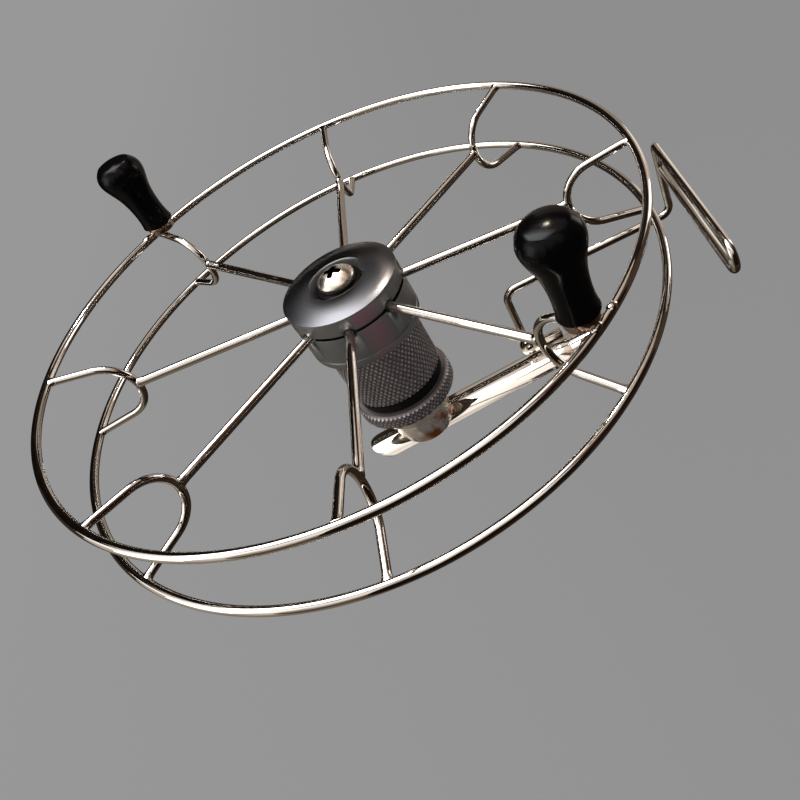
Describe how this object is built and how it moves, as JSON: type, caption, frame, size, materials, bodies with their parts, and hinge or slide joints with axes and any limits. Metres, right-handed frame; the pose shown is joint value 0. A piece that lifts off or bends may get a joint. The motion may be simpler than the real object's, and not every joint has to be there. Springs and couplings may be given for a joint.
{
  "type": "raft fishing reel",
  "caption": "Open wire spool on a ball bearing hub, with a knurled tension ring, turning knobs, a curved rod foot and a wire hand brake.",
  "frame": {"origin": "on the axis of the rod that the foot's gutter sits on, straight under the spindle", "axes": "+X along the rod towards the foot's long tongue, +Z along the spindle from the foot to the cap, +Y across the rod"},
  "size_m": [0.1708, 0.1602, 0.09],
  "materials": {
    "wire": "polished stainless steel wire",
    "lever_wire": "polished stainless steel wire",
    "hub_anodised": "turned and dark grey anodised",
    "knurled": "diamond knurled and dark anodised",
    "friction_black": "matt black friction material",
    "plated_foot": "bright chrome plated steel",
    "plated_collar": "bright nickel plated steel",
    "screw_metal": "bright plated steel",
    "bearing_steel": "ground bearing steel",
    "shield_metal": "pressed steel",
    "steel_inner": "turned steel",
    "knob_black": "glossy moulded plastic",
    "knob_metal": "bright plated steel"
  },
  "bodies": {
    "base": {"foot": "plated_foot", "brake_saddle": "plated_foot", "spindle": "steel_inner", "collar": "plated_collar", "lock_washer": "plated_collar", "friction_ring": "friction_black", "disc_springs": "steel_inner", "bearing_front_inner": "bearing_steel", "bearing_rear_inner": "bearing_steel", "bearing_spacer": "steel_inner", "cap_bush": "screw_metal", "cap_washer": "screw_metal", "cap_screw": "screw_metal"},
    "spool": {"rim_front": "wire", "rim_rear": "wire", "hoop_1": "wire", "hoop_2": "wire", "hoop_3": "wire", "hoop_4": "wire", "hoop_5": "wire", "hoop_6": "wire", "hoop_7": "wire", "hoop_8": "wire", "spoke_1": "wire", "spoke_2": "wire", "spoke_3": "wire", "spoke_4": "wire", "spoke_5": "wire", "spoke_6": "wire", "spoke_7": "wire", "spoke_8": "wire", "hub_cap": "hub_anodised", "hub_body": "hub_anodised", "drag_barrel": "knurled", "bearing_front_outer": "bearing_steel", "bearing_rear_outer": "bearing_steel", "bearing_front_shields": "shield_metal", "bearing_rear_shields": "shield_metal", "retaining_ring": "steel_inner", "knob_lug_a": "knob_metal", "knob_lug_b": "knob_metal", "knob_axle_a": "knob_metal", "knob_axle_b": "knob_metal"},
    "knob_a": {"knob_a": "knob_black"},
    "knob_b": {"knob_b": "knob_black"},
    "balls_front": {"bearing_front_balls": "bearing_steel"},
    "balls_rear": {"bearing_rear_balls": "bearing_steel"},
    "tension_ring": {"tension_ring": "knurled"},
    "brake_lever": {"brake_lever": "lever_wire"}
  },
  "joints": [
    {"name": "spool_spin", "type": "hinge", "parent": "base", "child": "spool", "pos_m": [0, 0, 0.0579], "axis": [0, 0, 1], "continuous": true},
    {"name": "balls_front_roll", "type": "hinge", "parent": "base", "child": "balls_front", "pos_m": [0, 0, 0.0574], "axis": [0, 0, 1], "continuous": true},
    {"name": "balls_rear_roll", "type": "hinge", "parent": "base", "child": "balls_rear", "pos_m": [0, 0, 0.0327], "axis": [0, 0, 1], "continuous": true},
    {"name": "knob_a_spin", "type": "hinge", "parent": "spool", "child": "knob_a", "pos_m": [0.0427, -0.06192, 0.083], "axis": [0, 0, 1], "continuous": true},
    {"name": "knob_b_spin", "type": "hinge", "parent": "spool", "child": "knob_b", "pos_m": [-0.04404, 0.06293, 0.083], "axis": [0, 0, 1], "continuous": true},
    {"name": "tension_turn", "type": "hinge", "parent": "base", "child": "tension_ring", "pos_m": [0, 0, 0.023], "axis": [0, 0, 1], "range_deg": [-270, 270]},
    {"name": "brake_squeeze", "type": "hinge", "parent": "base", "child": "brake_lever", "pos_m": [0.037, 0.00425, 0.0099], "axis": [0, -1, 0], "range_deg": [0, 14.6], "stiffness_Nm_per_rad": 0.6, "springref_deg": -2.86}
  ],
  "couplings": [
    {"joint": "balls_front_roll", "follows": "spool_spin", "ratio": 0.6},
    {"joint": "balls_rear_roll", "follows": "spool_spin", "ratio": 0.6}
  ]
}
